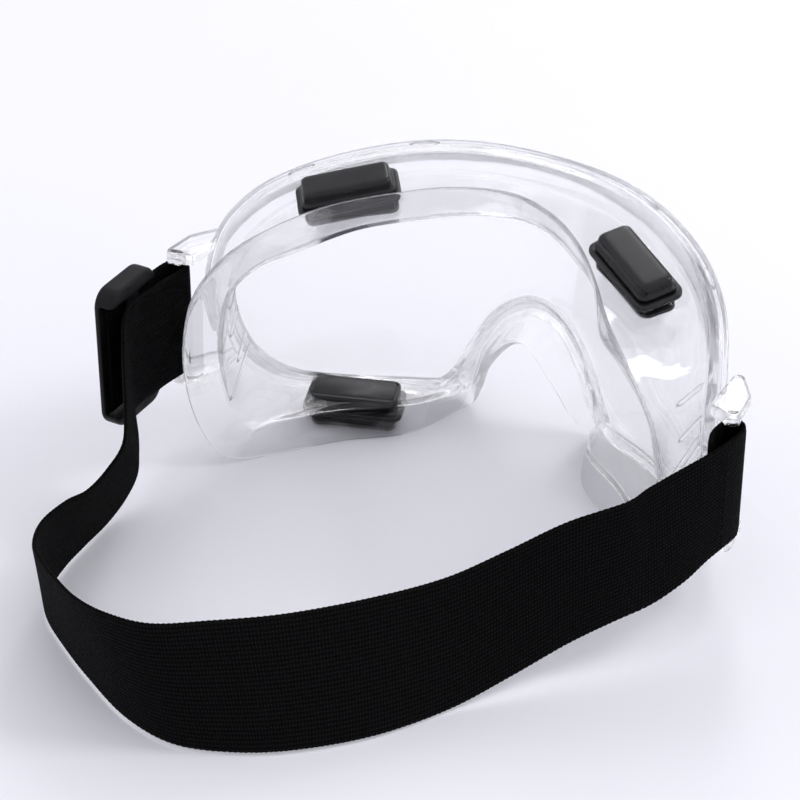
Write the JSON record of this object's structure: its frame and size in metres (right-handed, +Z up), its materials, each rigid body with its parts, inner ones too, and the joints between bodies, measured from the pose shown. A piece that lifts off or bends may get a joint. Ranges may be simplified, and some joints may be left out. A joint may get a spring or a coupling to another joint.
{
  "type": "safety goggles",
  "caption": "Clear splash goggles that seal round the eyes, with a curved lens, covered air vents and a wide ribbed elastic strap with a slide adjuster.",
  "frame": {"origin": "table level, in the plane of symmetry of the frame, on the line between the two strap lugs", "axes": "+X to the wearer's right, +Y from the face out through the lens, +Z up"},
  "size_m": [0.1911, 0.1952, 0.0927],
  "materials": {
    "clear_frame": "clear soft moulded vinyl, glossy",
    "clear_lens": "clear polycarbonate, polished",
    "vent_ring": "black moulded plastic, satin",
    "vent_seat": "black moulded plastic, semi-gloss",
    "vent_cap": "black moulded plastic, semi-gloss",
    "webbing": "black ribbed elastic webbing",
    "thread": "black sewing thread",
    "slider": "black moulded plastic, semi-gloss"
  },
  "bodies": {
    "goggles": {"frame_body": "clear_frame", "lens": "clear_lens", "vent_ring_top_left": "vent_ring", "vent_ring_top_right": "vent_ring", "vent_ring_bottom_left": "vent_ring", "vent_seat_top_left": "vent_seat", "vent_seat_top_right": "vent_seat", "vent_seat_bottom_left": "vent_seat", "vent_cap_top_left": "vent_cap", "vent_cap_top_right": "vent_cap", "vent_cap_bottom_left": "vent_cap", "strap_lug_left": "clear_frame", "strap_lug_right": "clear_frame", "strap_loop_left": "webbing", "strap_loop_right": "webbing", "stitching_right": "thread"},
    "band": {"strap_band": "webbing"},
    "adjuster": {"strap_slider": "slider"}
  },
  "joints": [
    {"name": "strap_swing", "type": "hinge", "parent": "goggles", "child": "band", "pos_m": [0, -0.04, 0.034], "axis": [-1, 0, 0], "range_deg": [0, 50]},
    {"name": "slider_slide", "type": "slide", "parent": "goggles", "child": "adjuster", "axis": [0, 1, 0], "range_m": [0, 0.006]}
  ]
}
